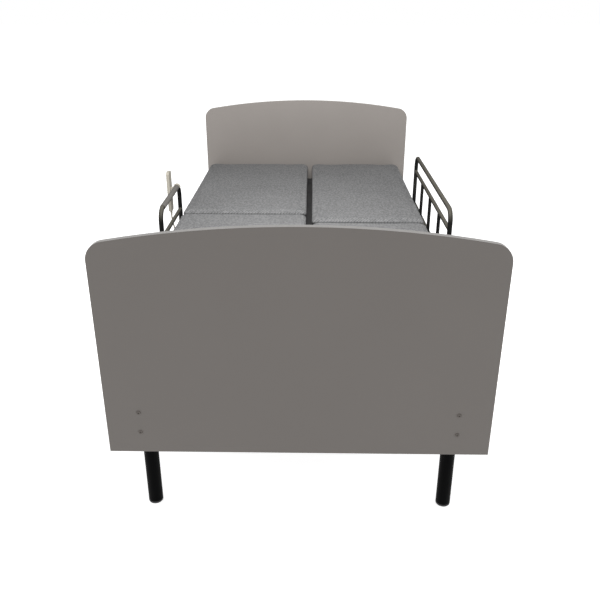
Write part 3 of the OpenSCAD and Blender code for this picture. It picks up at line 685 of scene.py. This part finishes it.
@dataclass
class HandsetLead:
    """The handset's cord: down beside the handle, up to its clip and on to the control box.

    Attributes:
        diameter: thickness of the cord.
        length: its real length; not used.
        steps: stretches between one point of the route and the next.
        roundness: how finely its section is rounded.
        route: points that it runs through.
    """

    diameter: float = 6 * MM
    length: float = 1.100
    steps: int = 8
    roundness: int = 4
    route: tuple[Point, ...] = (
        (-0.566, 0.225, 0.525), (-0.565, 0.225, 0.509), (-0.562, 0.226, 0.486), (-0.556, 0.226, 0.460),
        (-0.550, 0.226, 0.430), (-0.546, 0.225, 0.400), (-0.543, 0.223, 0.340), (-0.539, 0.218, 0.280),
        (-0.533, 0.207, 0.228), (-0.521, 0.187, 0.190), (-0.507, 0.165, 0.178), (-0.493, 0.145, 0.190),
        (-0.483, 0.131, 0.228), (-0.477, 0.124, 0.280), (-0.474, 0.121, 0.330), (-0.474, 0.120, 0.380),
        (-0.473, 0.120, 0.398), (-0.469, 0.120, 0.411), (-0.460, 0.120, 0.420), (-0.447, 0.120, 0.424),
        (-0.423, 0.120, 0.424), (-0.408, 0.118, 0.419), (-0.385, 0.112, 0.405), (-0.345, 0.102, 0.383),
        (-0.295, 0.089, 0.370), (-0.240, 0.074, 0.365), (-0.185, 0.059, 0.370), (-0.135, 0.045, 0.385),
        (-0.095, 0.034, 0.404), (-0.070, 0.026, 0.417), (-0.054, 0.021, 0.423), (-0.040, 0.020, 0.424),
    )

    def build(self) -> bpy.types.Object:
        """Returns:
            The cord's object.
        """
        path = smooth_path([Vector(p) for p in self.route], self.steps)
        curve = bpy.data.curves.new("handset_lead", "CURVE")
        curve.dimensions = "3D"
        curve.bevel_depth = self.diameter / 2
        curve.bevel_resolution = self.roundness
        curve.use_fill_caps = True
        spline = curve.splines.new("POLY")
        spline.points.add(len(path) - 1)
        for target, point in zip(spline.points, path):
            target.co = (*point, 1.0)
        piece = new_piece("handset_lead", curve, Finish.CORD, "base")
        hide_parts("handset_cord")
        return piece


# ---------------------------------------------------------------- upholstery


@dataclass
class PadForm:
    """Mesh of one pad: a flat grid over and under, joined by a rounded band.

    The plan is a rectangle whose two ends have corners of their own radius.

    Attributes:
        low: low corner of the pad's box.
        high: high corner of the pad's box.
        foot_corner: radius of the plan's corners at the foot side.
        head_corner: radius of the plan's corners at the head side.
        edge_r: radius of the upper edge.
        base_r: radius of the lower edge.
        border: width of the finely divided border.
        fine: pitch of the grid in the border.
        coarse: pitch of the grid inside it.
        waist: how far the middle of each side is drawn in.
        arc_steps: rings round the upper edge, and again down the side.
        seam_ring: number of the ring that holds the seam.
    """

    low: Vector
    high: Vector
    foot_corner: float
    head_corner: float
    edge_r: float = 8.5 * MM
    base_r: float = 4.0 * MM
    border: float = 48.0 * MM
    fine: float = 6.0 * MM
    coarse: float = 14.0 * MM
    waist: float = 1.2 * MM
    arc_steps: int = 4
    seam_ring: int = 6

    def lines(self, half: float) -> list[float]:
        """Positions across the pad, close together near both ends.

        Args:
            half: half of the pad's size.

        Returns:
            The positions from -half to half.
        """
        inner = half - self.border
        few = math.ceil(self.border / self.fine)
        many = math.ceil(2 * inner / self.coarse)
        ends = [self.border * i / few for i in range(few)]
        return (
            [-half + e for e in ends]
            + [-inner + 2 * inner * i / many for i in range(many)]
            + [inner + e for e in ends]
            + [half]
        )

    def plan(self, x: float, y: float, half: tuple[float, float], grow: float) -> tuple[Vector, Vector]:
        """Where a point of the rectangle goes in the rounded plan, and which way is outward there.

        Args:
            x: place across, from the middle.
            y: place along, from the middle.
            half: half sizes of the rectangle.
            grow: how far this rectangle is outside the top's flat.

        Returns:
            The point and the outward direction, both flat.
        """
        corner = (self.head_corner if y > 0 else self.foot_corner) - self.edge_r + grow
        p = abs(x) - (half[0] - corner)
        q = abs(y) - (half[1] - corner)
        sign = Vector((math.copysign(1, x), math.copysign(1, y)))
        if p > 0 and q > 0:
            reach = max(p, q)
            turn = math.pi / 4 * min(p, q) / reach
            out = Vector((math.cos(turn), math.sin(turn)))
            out = out if p >= q else out.yx
            point = Vector((half[0] - corner, half[1] - corner)) + reach * out
            return point * sign, out * sign
        out = Vector((sign.x, 0)) if half[0] - abs(x) < half[1] - abs(y) else Vector((0, sign.y))
        return Vector((x, y)), out

    def pull(self, x: float, y: float, half: tuple[float, float]) -> Vector:
        """The point moved inward a little, most in the middle of each side."""
        kx = 1 - self.waist / half[0] * (1 - (y / half[1]) ** 2)
        ky = 1 - self.waist / half[1] * (1 - (x / half[0]) ** 2)
        return Vector((x * kx, y * ky))

    def profile(self, height: float) -> list[tuple[float, float]]:
        """The band from the top's flat to the underside.

        Args:
            height: the pad's height.

        Returns:
            Pairs of how far out and how high each ring lies, without the first and the last.
        """
        e, b, steps = self.edge_r, self.base_r, range(1, self.arc_steps + 1)
        turns = [math.radians(90 * k / self.arc_steps) for k in steps]
        over = [(e * math.sin(t), height - e * (1 - math.cos(t))) for t in turns]
        side = [(e, height - e + (b - height + e) * k / self.arc_steps) for k in steps]
        half_turn = math.radians(45)
        under = [(e - b * (1 - math.cos(half_turn)), b * (1 - math.sin(half_turn)))]
        return over + side + under

    @staticmethod
    def rim(nx: int, ny: int) -> list[tuple[int, int]]:
        """The grid's outermost points, once round."""
        return (
            [(i, 0) for i in range(nx - 1)] + [(nx - 1, j) for j in range(ny - 1)]
            + [(i, ny - 1) for i in range(nx - 1, 0, -1)] + [(0, j) for j in range(ny - 1, 0, -1)]
        )

    def build(self, name: str) -> bpy.types.Mesh:
        """Makes the mesh.

        Args:
            name: name of the mesh.

        Returns:
            The mesh, with the seam's ring in the vertex attribute "seam" and the underside in "held".
        """
        middle = (self.low + self.high) / 2
        size = self.high - self.low
        top_half = (size.x / 2 - self.edge_r, size.y / 2 - self.edge_r)
        grow = self.edge_r - self.base_r
        base_half = (top_half[0] + grow, top_half[1] + grow)
        xs, ys = self.lines(top_half[0]), self.lines(top_half[1])
        nx, ny = len(xs), len(ys)
        rim = self.rim(nx, ny)
        bm = bmesh.new()
        seam = bm.verts.layers.float.new("seam")
        held = bm.verts.layers.float.new("held")

        def vertex(flat: Vector, height: float) -> bmesh.types.BMVert:
            pulled = self.pull(flat.x, flat.y, (size.x / 2, size.y / 2))
            return bm.verts.new((middle.x + pulled.x, middle.y + pulled.y, self.low.z + height))

        def grid(half: tuple[float, float], extra: float, height: float) -> list[list[bmesh.types.BMVert]]:
            def scaled(x: float, y: float) -> Vector:
                return self.plan(x * half[0] / top_half[0], y * half[1] / top_half[1], half, extra)[0]

            return [[vertex(scaled(x, y), height) for y in ys] for x in xs]

        top = grid(top_half, 0.0, size.z)
        base = grid(base_half, grow, 0.0)
        rings = [[top[i][j] for i, j in rim]]
        edge = [self.plan(xs[i], ys[j], top_half, 0.0) for i, j in rim]
        for out, height in self.profile(size.z):
            rings.append([vertex(point + way * out, height) for point, way in edge])
        rings.append([base[i][j] for i, j in rim])
        for vert in rings[self.seam_ring]:
            vert[seam] = 1.0
        for column in base:
            for vert in column:
                vert[held] = 1.0
        for i in range(nx - 1):
            for j in range(ny - 1):
                bm.faces.new((top[i][j], top[i + 1][j], top[i + 1][j + 1], top[i][j + 1]))
                bm.faces.new((base[i][j], base[i][j + 1], base[i + 1][j + 1], base[i + 1][j]))
        count = len(rim)
        for upper, lower in zip(rings, rings[1:]):
            for k in range(count):
                n = (k + 1) % count
                bm.faces.new((upper[k], lower[k], lower[n], upper[n]))
        for face in bm.faces:
            face.smooth = True
        mesh = bpy.data.meshes.new(name)
        bm.to_mesh(mesh)
        bm.free()
        return mesh


@dataclass
class Upholstery:
    """Fills the pads by a cloth simulation of air pressure, then presses in their seams.

    Attributes:
        frames: length of the simulation.
        quality: steps per frame.
        mass: mass of the cloth.
        stretch: how strongly it resists stretching.
        shear: how strongly it resists shearing.
        bending: how strongly it resists bending.
        pressure: pressure of the filling.
        most_out: how far a pad may swell sideways.
        most_up: how far it may swell upward.
        seam_depth: how deep the seam is pressed in.
        wobble: how far the cover wanders.
        wobble_pitch: how often it does, per metre.
    """

    frames: int = 20
    quality: int = 5
    mass: float = 0.3
    stretch: float = 20.0
    shear: float = 8.0
    bending: float = 6.0
    pressure: float = 4.0
    most_out: float = 1.6 * MM
    most_up: float = 5.0 * MM
    top_band: float = 1.0 * MM
    seam_depth: float = 1.3 * MM
    wobble: float = 0.35 * MM
    wobble_pitch: float = 14.0

    def inflate(self, pads: list[bpy.types.Object]) -> None:
        """Runs the simulation on all pads at once and keeps its result.

        Args:
            pads: the pads, each with a vertex group "held" for its underside.
        """
        scene = bpy.context.scene
        scene.frame_start, scene.frame_end = 1, self.frames
        for pad in pads:
            cloth = pad.modifiers.new("filling", "CLOTH")
            cloth.point_cache.frame_start = 1
            cloth.point_cache.frame_end = self.frames
            settings = cloth.settings
            settings.quality = self.quality
            settings.mass = self.mass
            settings.tension_stiffness = settings.compression_stiffness = self.stretch
            settings.shear_stiffness = self.shear
            settings.bending_stiffness = self.bending
            settings.use_pressure = True
            settings.uniform_pressure_force = self.pressure
            settings.vertex_group_mass = "held"
            settings.effector_weights.gravity = 0
        for number in range(1, self.frames + 1):
            scene.frame_set(number)
        graph = bpy.context.evaluated_depsgraph_get()
        for pad in pads:
            swollen = [v.co.copy() for v in pad.evaluated_get(graph).data.vertices]
            pad.modifiers.clear()
            for vertex, target in zip(pad.data.vertices, swollen):
                vertex.co += self.capped(target - vertex.co)
        scene.frame_set(1)

    def capped(self, move: Vector) -> Vector:
        """The move, no longer than the pad may swell sideways and upward."""
        flat = Vector((move.x, move.y, 0))
        if flat.length > self.most_out:
            flat *= self.most_out / flat.length
        return Vector((flat.x, flat.y, min(max(move.z, 0.0), self.most_up)))

    def sew(self, pad: bpy.types.Object) -> None:
        """Presses the seam into the band, lets the cover wander slightly and smooths the result."""
        mesh = pad.data
        seam = mesh.attributes["seam"].data
        held = mesh.attributes["held"].data
        for vertex in mesh.vertices:
            if held[vertex.index].value:
                continue
            vertex.co += self.wobble * noise.noise(vertex.co * self.wobble_pitch) * vertex.normal
            if seam[vertex.index].value:
                vertex.co -= self.seam_depth * vertex.normal
        smooth = pad.modifiers.new("smooth", "SUBSURF")
        smooth.levels = smooth.render_levels = 1


class Side(Enum):
    """The two decks of the bed."""

    LEFT = "left"
    RIGHT = "right"


@dataclass
class Deck:
    """One deck: four trays with their pads, knee pins and skids.

    Attributes:
        side: which deck it is.
        seam_corner: radius of the pads' corners along the seams.
        seat_corner: radius of the seat's corners beside the back section.
        end_corner: radius of the corners at the bed's ends.
        slack: how far a cover stays inside its CAD pad.
    """

    side: Side
    seam_corner: float = 10.0 * MM
    seat_corner: float = 30.0 * MM
    end_corner: float = 40.0 * MM
    slack: float = 1.2 * MM

    def pad(self, section: str, body: str, foot_corner: float, head_corner: float) -> bpy.types.Object:
        """Makes the upholstered pad of one section.

        Args:
            section: name of the section.
            body: the body that it rides on.
            foot_corner: radius of the corners at its foot side.
            head_corner: radius of the corners at its head side.

        Returns:
            The pad's object.
        """
        node = f"{self.side.value}_{section}_pad"
        low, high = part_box(node)
        inset = Vector((self.slack, self.slack, 0))
        form = PadForm(low + inset, high - inset, foot_corner, head_corner)
        cover = f"{self.side.value}_{section}_cover"
        piece = new_piece(cover, form.build(node), Finish.FABRIC, body)
        group = piece.vertex_groups.new(name="held")
        held = piece.data.attributes["held"].data
        group.add([v.index for v in piece.data.vertices if held[v.index].value], 1.0, "REPLACE")
        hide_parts(node)
        return piece

    def build(self) -> list[bpy.types.Object]:
        """Dresses the trays and makes the pads.

        Returns:
            The deck's four pads.
        """
        side = self.side.value
        for section in ("back", "seat", "thigh", "calf"):
            dress(f"{side}_{section}_tray", Finish.TRAY, None)
        dress(f"{side}_knee_pins", Finish.ZINC, Edge.MACHINED)
        dress(f"{side}_calf_skids", Finish.NYLON, Edge.MACHINED)
        seam, seat, end = self.seam_corner, self.seat_corner, self.end_corner
        return [
            self.pad("back", f"{side}_back", seam, end),
            self.pad("seat", "base", seam, seat),
            self.pad("thigh", f"{side}_thigh", seam, seam),
            self.pad("calf", f"{side}_calf", end, seam),
        ]


# ---------------------------------------------------------------- boards and frame


@dataclass
class Boards:
    """Headboard and footboard with their bolts."""

    names: tuple[str, ...] = ("headboard", "footboard")

    def build(self) -> None:
        """Dresses the boards and the bolt heads."""
        for name in self.names:
            dress(name, Finish.BOARD, Edge.BOARD)
        dress("board_bolts", Finish.CAP, Edge.MACHINED)


@dataclass
class SteelFrame:
    """Beams, cross members, legs and what is fastened to them."""

    beams: tuple[str, ...] = ("left_side_beam", "right_side_beam", "centre_beam", "head_cross_tube",
                              "foot_cross_tube", "head_drive_beam", "foot_drive_beam")
    legs: tuple[str, ...] = ("head_left_leg", "head_right_leg", "foot_left_leg", "foot_right_leg")

    def build(self) -> None:
        """Dresses the frame."""
        for name in self.beams:
            dress(name, Finish.FRAME, Edge.WELDED)
        for name in self.legs:
            dress(name, Finish.LEG, Edge.MACHINED)
        dress("leg_glides", Finish.BLACK, None)
        dress("frame_bolts", Finish.ZINC, Edge.MACHINED)
        dress("rest_buffers", Finish.RUBBER, Edge.MACHINED)
        dress("seat_hinge_pins", Finish.ZINC, Edge.MACHINED)


@dataclass
class Drives:
    """The four linear drives, their rods, the control box and the cables."""

    names: tuple[str, ...] = ("left_back", "left_leg", "right_back", "right_leg")

    def build(self) -> None:
        """Dresses the drives and what they are plugged into."""
        for name in self.names:
            dress(f"{name}_drive", Finish.HOUSING, Edge.MOULDED)
            dress(f"{name}_rod", Finish.CHROME, Edge.MACHINED)
        dress("control_box", Finish.BLACK, Edge.MOULDED)
        dress("drive_cables", Finish.CABLE, None)


# ---------------------------------------------------------------- handset, rail and handle


@dataclass
class Handset:
    """The wired handset: beige case and four grey rocker keys, each marked with two arrows.

    Attributes:
        keys: names of the keys.
        arrow_half: half of an arrow's width.
        arrow_rise: its height.
        arrow_off: how far its middle is from the key's middle.
        arrow_thick: its thickness, most of it sunk into the key.
        arrow_edge: how far its edges are bevelled.
        arrow_sunk: how far its face lies behind the key's outermost edge.
    """

    keys: tuple[str, ...] = ("left_back", "left_leg", "right_back", "right_leg")
    arrow_half: float = 2.6 * MM
    arrow_rise: float = 2.8 * MM
    arrow_off: float = 5.0 * MM
    arrow_thick: float = 0.8 * MM
    arrow_edge: float = 0.12 * MM
    arrow_sunk: float = 0.05 * MM

    def arrows(self, key: str) -> None:
        """Puts a raised triangle on the upper and the lower half of one key.

        Args:
            key: the key's name.
        """
        low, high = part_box(f"{key}_rocker")
        face = low.x + self.arrow_sunk
        mid = (low + high) / 2
        bm = bmesh.new()
        for way in (1, -1):
            base = mid.z + way * (self.arrow_off - self.arrow_rise / 2)
            outline = ((-self.arrow_half, base), (self.arrow_half, base), (0.0, base + way * self.arrow_rise))
            front = [bm.verts.new((face, mid.y + y, z)) for y, z in outline]
            back = [bm.verts.new((face + self.arrow_thick, mid.y + y, z)) for y, z in outline]
            bm.faces.new(front)
            bm.faces.new(back[::-1])
            for k in range(3):
                n = (k + 1) % 3
                bm.faces.new((front[k], back[k], back[n], front[n]))
        bmesh.ops.recalc_face_normals(bm, faces=bm.faces)
        bmesh.ops.bevel(bm, geom=bm.edges, offset=self.arrow_edge, segments=1, affect="EDGES")
        mesh = bpy.data.meshes.new(f"{key}_arrows")
        bm.to_mesh(mesh)
        bm.free()
        new_piece(f"{key}_arrows", mesh, Finish.MARK, f"{key}_rocker")

    def build(self) -> None:
        """Dresses the case and the keys, and marks the keys."""
        dress("handset", Finish.HANDSET, Edge.MOULDED)
        for key in self.keys:
            dress(f"{key}_rocker", Finish.KEY, Edge.MACHINED)
            self.arrows(key)


@dataclass
class Rails:
    """The long side rail and the short assist handle, with their brackets, lock and grip."""

    painted: tuple[str, ...] = ("side_rail", "assist_handle")
    brackets: tuple[str, ...] = ("rail_brackets", "handle_clamps")

    def build(self) -> None:
        """Dresses both rails and their fittings."""
        for name in self.painted:
            dress(name, Finish.RAIL, Edge.MACHINED)
        for name in self.brackets:
            dress(name, Finish.FRAME, Edge.WELDED)
        dress("rail_lock_knob", Finish.BLACK, Edge.MACHINED)
        dress("handle_grip", Finish.FOAM, Edge.MOULDED)


# ---------------------------------------------------------------- the bed


def main() -> None:
    """Builds the studio and every part of the bed."""
    logging.basicConfig(level=logging.INFO, format="%(message)s")
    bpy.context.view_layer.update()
    studio = Studio()
    studio.camera()
    HandsetLead().build()
    studio.floor()
    studio.light()
    Boards().build()
    SteelFrame().build()
    pads = [pad for side in Side for pad in Deck(side).build()]
    covers = Upholstery()
    covers.inflate(pads)
    for pad in pads:
        covers.sew(pad)
    Drives().build()
    Handset().build()
    Rails().build()


if __name__ == "__main__":
    main()
